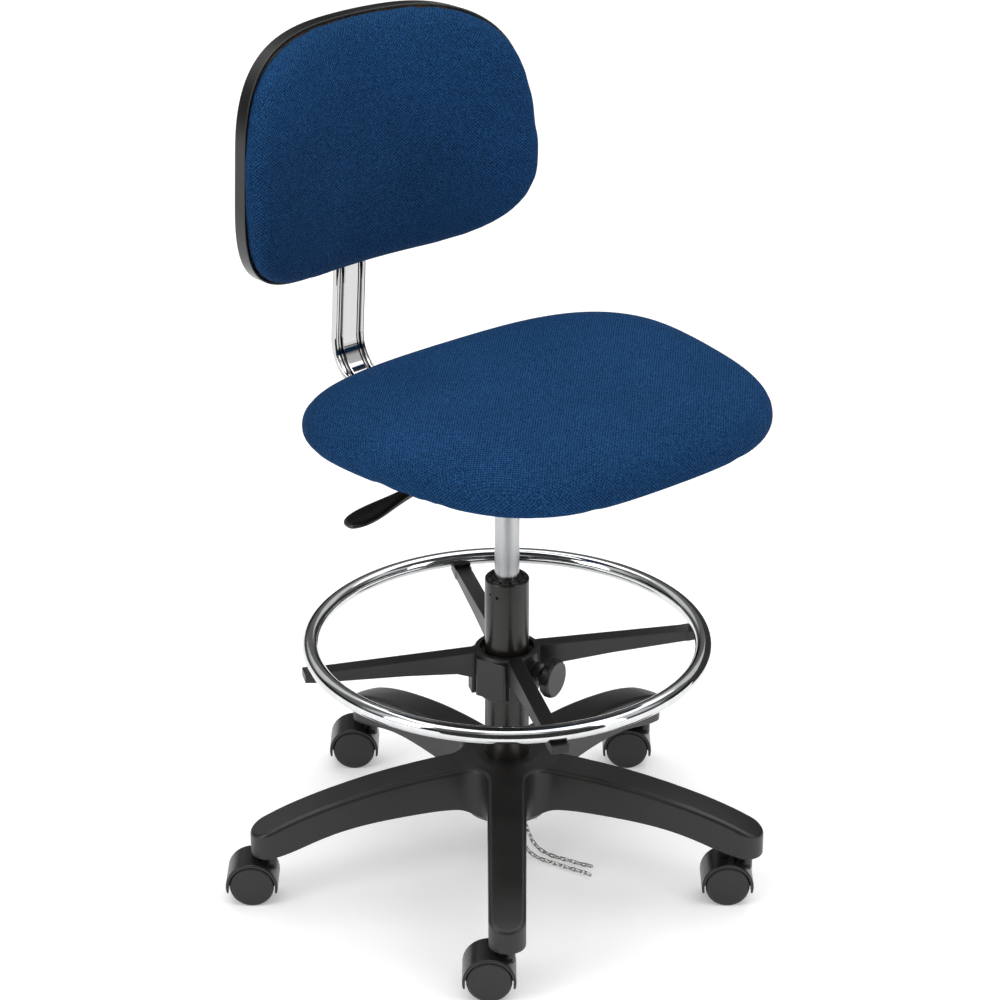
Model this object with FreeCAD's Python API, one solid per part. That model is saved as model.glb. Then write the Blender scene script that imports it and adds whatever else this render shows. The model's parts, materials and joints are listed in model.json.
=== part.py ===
"""Drafting chair with a hooded-caster star base, gas lift, foot ring and adjustable back.

Millimetres, +Z up.  The origin is on the floor under the column axis.  The sitter faces -Y,
so +X is the sitter's left.  Each sub-part is its own solid in parts/NODE.step.
"""
import FreeCAD, Part
import math
import os

V = FreeCAD.Vector
UP = V(0, 0, 1)
ORIGIN = V(0, 0, 0)

# ---------------------------------------------------------------- driving dimensions
# star base
ARM_COUNT = 5
BASE_TURN = 230.0            # direction of the first arm, degrees from +X
CASTER_RADIUS = 283.7        # column axis to a caster's swivel axis
ARM_END_RADIUS = 20.5        # rounded end of an arm, around the swivel axis
ARM_ROOT_HALF = 23.0         # half width of an arm at the hub
HUB_RADIUS = 36.0
HUB_TOP = 141.0
HUB_BOTTOM = 73.0
ARM_WALL = 4.5
RIB_HALF = 1.3               # half thickness of the ribs under the arms
RIB_DISTANCES = (100, 157, 214)
VALLEY_FILLET = 24.0         # between neighbouring arms, seen from above
RIM_FILLET = 5.0             # along the arms' upper edges
# top and underside of an arm: distance from the column axis, height
ARM_TOP = [(60, 138), (100, 135.5), (150, 130), (200, 121), (250, 108.5), (285, 96), (306, 86)]
ARM_UNDERSIDE = [(306, 60.6), (262, 66), (230, 76), (190, 84.5), (150, 88),
                 (110, 89), (80, 88), (63, 84.5), (54, 79)]

# casters
WHEEL_RADIUS = 25.0
CASTER_TRAIL = 19.5
TRAIL_TURN = 140.0           # direction the wheels trail, degrees from +X
HOOD_RADIUS = 29.5
HOOD_HALF_WIDTH = 23.0
WHEEL_INNER = 7.4            # wheel faces, from the middle of the caster
WHEEL_OUTER = 21.6
STEM_RADIUS = 5.5
STEM_PIN_RADIUS = 4.0

# column and gas lift
COLUMN_RADIUS = 25.0
COLUMN_BOTTOM = 62.0
COLUMN_TOP = 363.5
COLUMN_WALL = 2.0
CYLINDER_RADIUS = 14.0
BUSH_BOTTOM = 288.0
CYLINDER_BOTTOM = 145.0
CONE_START = 478.0
CONE_TOP = 519.0
ROD_RADIUS = 5.0
PISTON_TOP = 331.0
VALVE_PIN_RADIUS = 3.5

# static-drain chains: control points from the anchor to the floor
CHAIN_DIAMETER = 6.0
CHAIN_A = [(15.7, -9.3, 55.0), (18.0, -11.2, 45.0), (21.5, -14.6, 30.0), (24.8, -18.6, 17.0),
           (31.4, -26.4, 7.0), (38.4, -40.9, 3.3), (45.8, -56.6, 3.3), (50.9, -72.5, 3.3),
           (59.3, -86.1, 3.3)]
CHAIN_B = [(6.9, -10.4, 55.0), (8.1, -11.6, 43.0), (9.3, -13.2, 30.0), (12.1, -16.9, 17.5),
           (17.1, -24.8, 7.5), (23.2, -37.7, 3.3), (29.5, -53.5, 3.3), (34.6, -70.8, 3.3),
           (41.6, -85.8, 3.3), (44.2, -99.8, 3.3)]
ANCHOR_TURN = -41.0          # direction of the strip under the hub that the strands hang from
ANCHOR_BOTTOM = 55.9

# foot ring
RING_RADIUS = 221.9
RING_TUBE = 9.5
RING_HEIGHT = 283.3
RING_WALL = 1.5
SPOKE_TURN = -26.0
SPIDER_TOP = 277.0
SPIDER_BOTTOM = 226.0
SPIDER_RADIUS = 37.0
CLAMP_TURN = -71.0
CLAMP_HEIGHT = 251.5

# seat
# A plan is (half width, reach up, reach down, power up, power down, taper up, taper down, edge).
# Its up half is the seat's front or the backrest's top.  A power of 2 is an ellipse and larger
# is squarer, a positive taper draws that end in, and edge is the least radius of its corners.
SEAT_PLAN = (242.9, 200.6, 195.6, 3.40, 3.17, 0.114, -0.072, 10.1)
SEAT_CENTRE = -65.1
SEAT_BOTTOM = 570.0
# (outline growth, height) of the cushion's layers
SEAT_LAYERS = [(-12, 570), (-5.5, 576), (-1.5, 587), (0, 598), (-1.2, 604), (-6.3, 609.3), (-18, 615.2),
               (-39, 620.6), (-70, 625.4), (-110, 628.6), (-150, 630)]
BOARD_THICK = 12.0
SEAT_FIXINGS = [(side * 78, y) for side in (-1, 1) for y in (-88, 98)]

# release lever
LEVER_PIVOT = V(-25, 4, 524.5)
LEVER_ELBOW = V(-58, 4, 520)
LEVER_END = V(-150, 4, 503)

# back upright: flat bar with a raised rib
BAR_HALF = 22.0
GROOVE_AT = 13.2             # the two grooves beside the rib
GROOVE_RADIUS = 4.4
GROOVE_SINK = 2.2            # how far each groove's centre lies off the bar's face
BAR_THICK = 9.0
BAR_LEVEL = 519.0            # height of its level run under the seat
BAR_FRONT = 78.0
BAR_BEND = 47.0              # bend radius of the centre line
BAR_BACK = 286.5             # furthest back that the centre line reaches
BACK_TILT = 2.0              # lean of the back and of the bar's upper run
BACK_HINGE = V(0, 280.0, 690.0)  # where the bar's upper run starts
UPPER_RUN = 215.0
TUNNEL_HALF = BAR_HALF + 0.6  # the way for the bar through the seat mechanism
TUNNEL_LOW = BAR_LEVEL - BAR_THICK / 2 - 0.6
TUNNEL_HIGH = BAR_LEVEL + BAR_THICK / 2 + 3.2
DEPTH_CLAMP = 112.0          # the depth clamp's distance behind the column axis

# backrest, in the bar's own tilted frame
BACK_PLAN = (198.1, 137.8, 149.4, 3.31, 3.76, 0.040, -0.114, 24.3)
BACK_SPAN = 300.0            # clears the backrest's height
BACK_MID = 129.2             # middle of the backrest above BACK_HINGE
BACK_REAR = -16.2            # rear of the shell, from the middle of the bar
BACK_CURVE = 413.0           # radius of the shell's rear face
SHELL_DEPTH = 16.0
SHELL_SKIN = 3.0
BACK_BOARD_THICK = 8.0
# (depth ahead of the shell's rear face, outline growth) of the pad's layers
BACK_LAYERS = [(25, -3.4), (30.5, -4.6), (35, -8), (39, -15), (42, -26), (44.3, -40), (46, -58)]
BACK_FIXINGS = [(side * 13, BACK_MID + rise) for side in (-1, 1) for rise in (-42, 42)]
BRACKET_LOW = BACK_MID - 62
BRACKET_HIGH = BACK_MID + 62
HEIGHT_CLAMP = BACK_MID - 20  # height of the back's clamp above BACK_HINGE


# ---------------------------------------------------------------- helpers
def save(shape, node):
    shape.exportStep("parts/" + node + ".step")


def box(x0, x1, y0, y1, z0, z1):
    return Part.makeBox(x1 - x0, y1 - y0, z1 - z0, V(x0, y0, z0))


def rod(radius, start, end):
    """A round bar from start to end."""
    return Part.makeCylinder(radius, start.distanceToPoint(end), start, end - start)


def tube(outer, inner, z0, z1):
    base = V(0, 0, z0)
    return Part.makeCylinder(outer, z1 - z0, base).cut(Part.makeCylinder(inner, z1 - z0, base))


def polygon(points):
    return Part.Face(Part.makePolygon([V(*p) for p in points] + [V(*points[0])]))


def turned(points):
    """A solid turned about Z from (radius, height) corners."""
    return polygon([(r, 0, z) for r, z in points]).revolve(ORIGIN, UP, 360)


def spun(shape, degrees, about=ORIGIN, axis=UP):
    out = shape.copy()
    out.rotate(about, axis, degrees)
    return out


def moved(shape, x=0.0, y=0.0, z=0.0):
    out = shape.copy()
    out.translate(V(x, y, z))
    return out


def heading(degrees, radius=1.0, height=0.0):
    a = math.radians(degrees)
    return V(radius * math.cos(a), radius * math.sin(a), height)


def joined(shapes):
    return shapes[0].multiFuse(shapes[1:]).removeSplitter()


def rounded_outline(plan, grow=0.0, steps=48):
    """Points on a soft rounded rectangle, larger by grow all round."""
    half_width, up, down, power_up, power_down, taper_up, taper_down, edge = plan
    points = []
    for k in range(steps):
        a = 2 * math.pi * (k + 0.5) / steps
        c = math.cos(a)
        s = math.sin(a)
        reach, power, taper = (up, power_up, taper_up) if s > 0 else (down, power_down, taper_down)
        p = math.copysign(abs(c) ** (2 / power), c)
        q = abs(s) ** (2 / power)
        points.append(((half_width + grow - edge) * p * (1 - taper * q),
                       math.copysign((reach + grow - edge) * q, s)))
    grown = []
    for k, (x, y) in enumerate(points):
        x0, y0 = points[k - 1]
        x1, y1 = points[(k + 1) % steps]
        length = math.hypot(x1 - x0, y1 - y0)
        grown.append((x + edge * (y1 - y0) / length, y - edge * (x1 - x0) / length))
    return grown


def closed_curve(points):
    curve = Part.BSplineCurve()
    curve.interpolate([V(*p) for p in points], PeriodicFlag=True)
    return Part.Wire(curve.toShape())


def lobed_knob(radius, height, lobes, depth):
    """A hand knob standing on z = 0: a disc with scooped finger hollows round its rim."""
    body = turned([(0, 0), (radius * 0.62, 0), (radius - 1.5, height * 0.30), (radius, height * 0.42),
                   (radius, height - 3.4), (radius - 0.9, height - 1.3), (radius - 3, height), (0, height)])
    scoop = radius * 0.75
    for k in range(lobes):
        middle = heading(360.0 * k / lobes, radius + scoop - depth, -1)
        body = body.cut(Part.makeCylinder(scoop, height + 2, middle))
    return body


def aimed(shape, start, direction):
    """Turn a shape built along +Z so that it stands on start along direction."""
    out = shape.copy()
    out.Placement = FreeCAD.Placement(start, FreeCAD.Rotation(UP, direction)).multiply(out.Placement)
    return out


# ---------------------------------------------------------------- star base
def arm_directions():
    return [BASE_TURN + k * 360.0 / ARM_COUNT for k in range(ARM_COUNT)]


def star_plan(shrink, z0, z1):
    """Hub and arms seen from above, as a prism, drawn in by shrink all round."""
    end = ARM_END_RADIUS - shrink
    root = ARM_ROOT_HALF - shrink
    pieces = [Part.makeCylinder(HUB_RADIUS - shrink, z1 - z0, V(0, 0, z0))]
    for turn in arm_directions():
        blade = polygon([(0, -root, z0), (CASTER_RADIUS, -end, z0), (CASTER_RADIUS, end, z0), (0, root, z0)])
        arm = blade.extrude(V(0, 0, z1 - z0))
        arm = arm.fuse(Part.makeCylinder(end, z1 - z0, V(CASTER_RADIUS, 0, z0)))
        pieces.append(spun(arm, turn))
    return joined(pieces)


def valley_edges(shape, limit):
    """Upright edges in the corners between neighbouring arms."""
    found = []
    for edge in shape.Edges:
        ends = [v.Point for v in edge.Vertexes]
        if len(ends) == 2 and abs(ends[0].z - ends[1].z) > 20 and math.hypot(ends[0].x, ends[0].y) < limit:
            if math.hypot(ends[0].x - ends[1].x, ends[0].y - ends[1].y) < 0.01:
                found.append(edge)
    return found


def arm_envelope(drop=0.0, inner=0.0, outer=0.0):
    """The arms' side profile turned about the column axis; drop lowers the top, for the hollow."""
    top = [V(r, 0, z - drop) for r, z in ARM_TOP]
    below = [V(r, 0, z) for r, z in ARM_UNDERSIDE]
    top_curve = Part.BSplineCurve()
    top_curve.interpolate(top)
    if drop:
        low = 40.0
        edges = [top_curve.toShape()]
        corners = [top[-1], V(top[-1].x, 0, low), V(inner, 0, low), V(inner, 0, top[0].z), top[0]]
    else:
        below_curve = Part.BSplineCurve()
        below_curve.interpolate(below)
        edges = [top_curve.toShape(), below_curve.toShape(), Part.makeLine(top[-1], below[0])]
        corners = [below[-1], V(49, 0, HUB_BOTTOM), V(0, 0, HUB_BOTTOM), V(0, 0, HUB_TOP),
                   V(HUB_RADIUS, 0, HUB_TOP), top[0]]
    edges += [Part.makeLine(a, b) for a, b in zip(corners, corners[1:])]
    face = Part.Face(Part.Wire(Part.__sortEdges__(edges)))
    solid = face.revolve(ORIGIN, UP, 360)
    if outer:
        solid = solid.common(Part.makeCylinder(outer, 200))
    return solid


def upper_rim(body):
    """Edges where the arms' top face meets their sides."""
    rim = []
    for edge in body.Edges:
        bounds = edge.BoundBox
        if bounds.ZMin < 80 or bounds.ZMax < 92 or bounds.ZMin > HUB_TOP - 0.1:
            continue
        at = edge.valueAt((edge.FirstParameter + edge.LastParameter) / 2)
        normals = [f.normalAt(*f.Surface.parameter(at)) for f in body.ancestorsOfType(edge, Part.Face)]
        if len(normals) == 2 and normals[0].getAngle(normals[1]) > math.radians(60):
            rim.append(edge)
    return rim


def star_base():
    plan = star_plan(0.0, 40, 200)
    plan = plan.makeFillet(VALLEY_FILLET, valley_edges(plan, 70))
    body = plan.common(arm_envelope())
    body = body.makeFillet(RIM_FILLET, upper_rim(body))
    hollow_plan = star_plan(ARM_WALL, 30, 190)
    hollow = hollow_plan.common(arm_envelope(drop=ARM_WALL, inner=HUB_RADIUS + 1, outer=CASTER_RADIUS - 21))
    ribs = []
    for turn in arm_directions():
        for distance in RIB_DISTANCES:
            ribs.append(spun(box(distance - RIB_HALF, distance + RIB_HALF, -30, 30, 30, 200), turn))
        ribs.append(spun(box(30, CASTER_RADIUS, -RIB_HALF, RIB_HALF, 30, 200), turn))
    body = body.cut(hollow.cut(ribs))
    taper = turned([(0, 40), (24.1, 40), (24.1, COLUMN_BOTTOM), (COLUMN_RADIUS + 0.1, HUB_TOP),
                    (COLUMN_RADIUS + 0.1, 160), (0, 160)])
    cuts = [taper]
    for turn in arm_directions():
        cuts.append(Part.makeCylinder(STEM_RADIUS + 0.05, 32.1, heading(turn, CASTER_RADIUS, 50)))
        cuts.append(Part.makeCylinder(STEM_RADIUS + 1.2, 3, heading(turn, CASTER_RADIUS, 74)))
    return body.cut(cuts)


def caster_stems():
    """Five stems pressed in the arm ends; each caster turns on its stem's lower pin."""
    stems = []
    for turn in arm_directions():
        foot = heading(turn, CASTER_RADIUS)
        stem = Part.makeCylinder(STEM_RADIUS, 22, foot + V(0, 0, 60)).fuse(
            Part.makeCylinder(STEM_PIN_RADIUS, 30, foot + V(0, 0, 30)))
        groove = Part.makeCylinder(STEM_RADIUS + 1, 3, foot + V(0, 0, 74)).cut(
            Part.makeCylinder(4.4, 3, foot + V(0, 0, 74)))
        stems.append(stem.cut(groove))
    return Part.makeCompound(stems)


def grip_rings():
    """Split spring rings that hold the stems in the arm ends."""
    rings = []
    for turn in arm_directions():
        foot = heading(turn, CASTER_RADIUS, 74.2)
        ring = Part.makeCylinder(6.6, 2.6, foot).cut(Part.makeCylinder(4.5, 2.6, foot))
        slit = spun(moved(box(0, 10, -0.8, 0.8, 74, 77), CASTER_RADIUS), turn)
        rings.append(ring.cut(slit))
    return Part.makeCompound(rings)


# ---------------------------------------------------------------- casters
def caster_local():
    """One caster: axle along local Y through (-CASTER_TRAIL, 0, WHEEL_RADIUS), swivel on local Z."""
    axle_at = V(-CASTER_TRAIL, 0, WHEEL_RADIUS)
    side = V(0, 1, 0)

    def across(radius, y0, y1):
        return Part.makeCylinder(radius, y1 - y0, axle_at + V(0, y0, 0), side)

    shell = across(HOOD_RADIUS, -HOOD_HALF_WIDTH, HOOD_HALF_WIDTH)
    shell = shell.makeFillet(1.6, [e for e in shell.Edges if e.Curve.TypeId == "Part::GeomCircle"])
    shell = shell.cut(across(WHEEL_RADIUS + 1.3, -30, -6.9)).cut(across(WHEEL_RADIUS + 1.3, 6.9, 30))
    lower = box(-80, 40, -40, 40, -20, WHEEL_RADIUS - 7)
    mouth = box(axle_at.x - WHEEL_RADIUS - 1.3, axle_at.x + WHEEL_RADIUS + 1.3, -40, 40, -20, WHEEL_RADIUS)
    mouth = mouth.cut(box(-80, 40, -6.9, 6.9, -20, 60))
    web_foot = box(-80, 40, -6.9, 6.9, -20, WHEEL_RADIUS - 9)
    boss = Part.makeCylinder(9.0, 20.5, V(0, 0, 39.6)).cut(box(-80, 40, -40, 40, 39, 46.8).cut(
        box(-80, 40, -6.9, 6.9, 39, 46.8)))
    boss = boss.cut(across(WHEEL_RADIUS + 1.3, -30, -6.9)).cut(across(WHEEL_RADIUS + 1.3, 6.9, 30))
    hood = shell.cut(lower).cut(mouth).cut(web_foot).fuse(boss).removeSplitter()
    hood = hood.cut(Part.makeCylinder(STEM_PIN_RADIUS + 0.25, 40, V(0, 0, 29.6)))
    hood = hood.cut(Part.makeCylinder(STEM_RADIUS + 0.3, 1.2, V(0, 0, 59.6)))
    hood = hood.cut(across(3.05, -10, 10))

    axle = across(3.0, -19.5, 19.5)

    def wheel(sign):
        profile = [(3.2, WHEEL_INNER), (6.5, WHEEL_INNER), (6.5, WHEEL_INNER + 5), (20.5, WHEEL_INNER + 5),
                   (20.5, WHEEL_INNER), (WHEEL_RADIUS - 0.8, WHEEL_INNER), (WHEEL_RADIUS, WHEEL_INNER + 0.8),
                   (WHEEL_RADIUS, WHEEL_OUTER - 1.8), (WHEEL_RADIUS - 0.9, WHEEL_OUTER - 0.5),
                   (WHEEL_RADIUS - 1.7, WHEEL_OUTER - 0.5), (WHEEL_RADIUS - 2.4, WHEEL_OUTER),
                   (0, WHEEL_OUTER), (0, 19.7), (3.2, 19.7)]
        disc = turned(profile)
        return aimed(disc, axle_at, V(0, sign, 0))

    return {"hood": hood, "axle": axle, "wheel_left": wheel(1), "wheel_right": wheel(-1)}


def casters():
    local = caster_local()
    nodes = {}
    for k, turn in enumerate(arm_directions(), start=1):
        at = heading(turn, CASTER_RADIUS)
        for name, shape in local.items():
            placed = spun(shape, TRAIL_TURN - 180.0)
            nodes["caster_%d_%s" % (k, name)] = moved(placed, at.x, at.y)
    return nodes


# ---------------------------------------------------------------- column and gas lift
def column_tube():
    outer = [(24.0, COLUMN_BOTTOM), (COLUMN_RADIUS, HUB_TOP), (COLUMN_RADIUS, COLUMN_TOP - 1.5),
             (COLUMN_RADIUS - 1.0, COLUMN_TOP), (COLUMN_RADIUS - COLUMN_WALL, COLUMN_TOP),
             (COLUMN_RADIUS - COLUMN_WALL, HUB_TOP), (22.0, COLUMN_BOTTOM)]
    body = turned(outer)
    for turn, radius, drop in ((-177.6, 1.4, 14.4), (-156.7, 1.9, 16.2)):
        height = COLUMN_TOP - drop
        body = body.cut(rod(radius, V(0, 0, height), heading(turn, 40, height)))
    return body


def guide_bush():
    """Plastic sleeve that the gas cylinder slides in, with notches round its top edge."""
    level = COLUMN_TOP - 0.6
    bush = turned([(14.3, BUSH_BOTTOM), (22.8, BUSH_BOTTOM), (22.8, level), (22.2, level + 0.6),
                   (22.2, level + 2.2), (18.6, level + 2.2), (18.6, level - 0.8), (17.2, level - 0.8),
                   (17.2, level + 1.2), (16.6, level + 1.8), (14.3, level + 1.8)])
    notches = [spun(box(18, 30, -1.5, 1.5, level, level + 5), 30.0 * k) for k in range(12)]
    return bush.cut(notches)


def column_base_plate():
    return tube(21.9, 5.2, COLUMN_BOTTOM + 1, COLUMN_BOTTOM + 4)


def thrust_bearing():
    """Two washers with a ring of balls between them, around the rod's lower tip."""
    low = COLUMN_BOTTOM + 4
    pieces = [tube(11.5, 5.2, low, low + 1.5), tube(11.5, 5.2, low + 5.5, low + 7)]
    for k in range(8):
        pieces.append(Part.makeSphere(2.0, heading(45.0 * k, 8.4, low + 3.5)))
    return Part.makeCompound(pieces)


def piston_rod():
    """Rod fixed to the column's foot; its lower tip passes through bearing and plate."""
    shoulder = COLUMN_BOTTOM + 11.2
    return turned([(0, 57.5), (4, 57.5), (4, 59), (3, 59), (3, 60.6), (4, 60.6), (4, shoulder),
                   (8, shoulder), (8, shoulder + 2), (ROD_RADIUS, shoulder + 2), (ROD_RADIUS, PISTON_TOP),
                   (0, PISTON_TOP)])


def rod_clip():
    clip = tube(7, 3.05, 59.1, 60.5)
    return clip.cut(box(0, 10, -2.4, 2.4, 59, 61))


def piston_head():
    low = PISTON_TOP - 11.5
    return turned([(5.05, low), (10.6, low), (10.6, low + 3.5), (10.2, low + 4), (10.2, low + 7.5),
                   (10.6, low + 8), (10.6, low + 11), (5.05, low + 11)])


def gas_cylinder():
    low = CYLINDER_BOTTOM
    return turned([(5.3, low), (CYLINDER_RADIUS - 1.5, low), (CYLINDER_RADIUS, low + 1.5),
                   (CYLINDER_RADIUS, CONE_START), (CYLINDER_RADIUS - 0.9, CONE_TOP),
                   (3.75, CONE_TOP), (3.75, CONE_TOP - 14), (11.2, CONE_TOP - 20), (11.2, low + 8),
                    (5.3, low + 8)])


def valve_pin():
    return Part.makeCylinder(VALVE_PIN_RADIUS, 20, V(0, 0, 504)).fuse(
        Part.makeCylinder(VALVE_PIN_RADIUS + 1.5, 1.5, V(0, 0, 502.5)))


# ---------------------------------------------------------------- static-drain chains
def cord_tube(points, diameter, name):
    """Straight runs joined by tangent arcs, as large as the two runs allow."""
    corners = [V(*p) for p in points]
    edges = []
    start = corners[0]
    smallest = 1e9
    for before, corner, after in zip(corners, corners[1:], corners[2:]):
        back = (before - corner).normalize()
        ahead = (after - corner).normalize()
        half_turn = (math.pi - back.getAngle(ahead)) / 2
        reach = 0.45 * min(before.distanceToPoint(corner), after.distanceToPoint(corner))
        radius = reach / math.tan(half_turn)
        smallest = min(smallest, radius)
        enter = corner + back * reach
        leave = corner + ahead * reach
        inward = (back + ahead).normalize()
        middle = corner + inward * (radius / math.cos(half_turn) - radius)
        edges.append(Part.LineSegment(start, enter).toShape())
        edges.append(Part.Arc(enter, middle, leave).toShape())
        start = leave
    edges.append(Part.LineSegment(start, corners[-1]).toShape())
    path = Part.Wire(edges)
    ring = Part.Wire(Part.makeCircle(diameter / 2, corners[0], corners[1] - corners[0]))
    shape = path.makePipeShell([ring], True, False)
    expected = math.pi * diameter ** 2 / 4 * path.Length
    print("%s: length %.1f, smallest radius %.1f, volume ratio %.4f"
          % (name, path.Length, smallest, shape.Volume / expected))
    return shape


def chain_anchor():
    """Joggled steel strip: a foot under the hub, a leg, and the level end that both strands hang from."""
    thick = 1.5
    pieces = [box(8, 35, -9, 9, ANCHOR_BOTTOM, ANCHOR_BOTTOM + thick),
              box(35 - thick, 35, -9, 9, ANCHOR_BOTTOM, HUB_BOTTOM),
              box(27, 35, -9, 9, HUB_BOTTOM - thick, HUB_BOTTOM)]
    return spun(joined(pieces), ANCHOR_TURN)


# ---------------------------------------------------------------- foot ring
def footring_liner():
    """Split plastic sleeve between the column and the spider; the clamp squeezes it on the column."""
    sleeve = turned([(25.3, 218.5), (31, 218.5), (31, 224.5), (28.7, 225.7), (28.7, 268), (25.3, 268)])
    return sleeve.cut(spun(box(20, 40, -1.5, 1.5, 210, 280), CLAMP_TURN + 180))


def spoke():
    """One spoke along +X: deep at the hub, shallow at the ring, with a saddle under the tube."""
    side = polygon([(30, 0, SPIDER_TOP), (212, 0, 273.5), (236, 0, 273.5), (236, 0, 264), (214, 0, 261.5),
                    (120, 0, 257), (60, 0, 252), (43, 0, 246), (43, 0, SPIDER_BOTTOM),
                    (30, 0, SPIDER_BOTTOM)])
    slab = side.extrude(V(0, 40, 0))
    slab.translate(V(0, -20, 0))
    plan = polygon([(0, -8, 200), (208, -9, 200), (212, -10, 200), (234, -10, 200), (234, 10, 200),
                    (212, 10, 200), (208, 9, 200), (0, 8, 200)]).extrude(V(0, 0, 100))
    return slab.common(plan)


def footring_spider():
    hub = turned([(0, SPIDER_BOTTOM), (SPIDER_RADIUS - 1, SPIDER_BOTTOM), (SPIDER_RADIUS, SPIDER_BOTTOM + 1),
                  (SPIDER_RADIUS, SPIDER_TOP - 1.5), (SPIDER_RADIUS - 1.5, SPIDER_TOP), (0, SPIDER_TOP)])
    pieces = [hub] + [spun(spoke(), SPOKE_TURN + 90 * k) for k in range(4)]
    flat = box(24, SPIDER_RADIUS + 0.8, -20.5, 20.5, SPIDER_BOTTOM, SPIDER_TOP - 5)
    flat = flat.makeFillet(5.0, [e for e in flat.Edges if e.Length > 44 and e.CenterOfMass.x > 30])
    for k in (0, 1, 2):
        pieces.append(spun(flat, CLAMP_TURN + 90 * (k + 1)))
    pieces.append(rod(13, heading(CLAMP_TURN, 30, CLAMP_HEIGHT), heading(CLAMP_TURN, 43, CLAMP_HEIGHT)))
    body = joined(pieces)
    bore = turned([(0, 200), (29, 200), (29, 268.3), (31, 268.3), (31, 300), (0, 300)])
    stud = rod(4.25, heading(CLAMP_TURN, 20, CLAMP_HEIGHT), heading(CLAMP_TURN, 60, CLAMP_HEIGHT))
    pad_pocket = rod(6.4, heading(CLAMP_TURN, 20, CLAMP_HEIGHT), heading(CLAMP_TURN, 34.7, CLAMP_HEIGHT))
    ring_bed = Part.makeTorus(RING_RADIUS, RING_TUBE + 0.05, V(0, 0, RING_HEIGHT))
    lip = turned([(29, 200), (33, 200), (33, 226), (29, 226)])
    cuts = [bore, stud, pad_pocket, ring_bed, lip]
    for k in range(4):
        foot = heading(SPOKE_TURN + 90 * k, RING_RADIUS, 250)
        cuts.append(Part.makeCylinder(2.6, 40, foot))
        cuts.append(Part.makeCylinder(4.6, 14.6, foot))
    return body.cut(cuts)


def footring_tube():
    middle = V(0, 0, RING_HEIGHT)
    body = Part.makeTorus(RING_RADIUS, RING_TUBE, middle).cut(
        Part.makeTorus(RING_RADIUS, RING_TUBE - RING_WALL, middle))
    for k in range(4):
        foot = heading(SPOKE_TURN + 90 * k, RING_RADIUS, 262)
        body = body.cut(Part.makeCylinder(2.6, 18, foot))
    return body


def footring_screws():
    screws = []
    for k in range(4):
        foot = heading(SPOKE_TURN + 90 * k, RING_RADIUS)
        screws.append(Part.makeCylinder(4.4, 3.2, foot + V(0, 0, 261.4)).fuse(
            Part.makeCylinder(2.5, 15, foot + V(0, 0, 264.6))))
    return Part.makeCompound(screws)


def footring_knob_stud():
    return rod(4.0, heading(CLAMP_TURN, 31.8, CLAMP_HEIGHT), heading(CLAMP_TURN, 56, CLAMP_HEIGHT))


def footring_knob():
    knob = lobed_knob(22.5, 16, 6, 2.2)
    knob = knob.fuse(Part.makeCylinder(9, 5, V(0, 0, -4)))
    knob = knob.cut(Part.makeCylinder(4.05, 10.1, V(0, 0, -4)))
    return aimed(knob, heading(CLAMP_TURN, 50, CLAMP_HEIGHT), heading(CLAMP_TURN))


def footring_pad():
    return rod(6.0, heading(CLAMP_TURN, 29.05, CLAMP_HEIGHT), heading(CLAMP_TURN, 31.7, CLAMP_HEIGHT))


# ---------------------------------------------------------------- seat and its mechanism
def seat_mechanism():
    """Pressed steel pan: top flange, box, cone socket and the tunnel for the back upright."""
    flange = box(-95, 95, -105, 118, SEAT_BOTTOM - 4, SEAT_BOTTOM)
    pan = box(-42, 42, -70, 40, BAR_LEVEL - 9, SEAT_BOTTOM - 4)
    pan = pan.cut(box(-39.5, 39.5, -67.5, 37.5, BAR_LEVEL - 6.5, SEAT_BOTTOM - 4))
    tunnel = box(-TUNNEL_HALF - 3, TUNNEL_HALF + 3, 37.5, 128, TUNNEL_LOW - 3, SEAT_BOTTOM - 4)
    socket = Part.makeCylinder(19, CONE_TOP - CONE_START - 2, V(0, 0, CONE_START + 2))
    nut = Part.makeCylinder(9, 6, V(0, DEPTH_CLAMP, TUNNEL_LOW - 9))
    body = joined([flange, pan, tunnel, socket, nut])
    bore = turned([(0, 470), (CYLINDER_RADIUS + 0.05, 470), (CYLINDER_RADIUS + 0.05, CONE_START),
                   (CYLINDER_RADIUS - 0.85, CONE_TOP), (CYLINDER_RADIUS - 0.85, CONE_TOP + 1),
                   (0, CONE_TOP + 1)])
    bar_way = box(-TUNNEL_HALF, TUNNEL_HALF, 20, 140, TUNNEL_LOW, TUNNEL_HIGH)
    hollow = box(-TUNNEL_HALF, TUNNEL_HALF, 37.5, 125, TUNNEL_HIGH + 3, SEAT_BOTTOM - 4)
    lever_way = box(-50, -30, -6, 14, BAR_LEVEL - 7, 536)
    stud_hole = Part.makeCylinder(6.3, 14, V(0, DEPTH_CLAMP, TUNNEL_LOW - 5.7))
    nut_hole = Part.makeCylinder(4.25, 14, V(0, DEPTH_CLAMP, TUNNEL_LOW - 12))
    pivot_way = rod(2.05, V(LEVER_PIVOT.x, -8, LEVER_PIVOT.z), V(LEVER_PIVOT.x, 16, LEVER_PIVOT.z))
    ears = [box(LEVER_PIVOT.x - 6, LEVER_PIVOT.x + 6, y, y + 2.5, BAR_LEVEL - 7, 532) for y in (-4.5, 10)]
    body = body.cut([bore, bar_way, hollow, lever_way, stud_hole, nut_hole]).multiFuse(ears)
    screw_holes = [Part.makeCylinder(3.1, 10, V(x, y, SEAT_BOTTOM - 8)) for x, y in SEAT_FIXINGS]
    return body.cut([pivot_way] + screw_holes)


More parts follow.
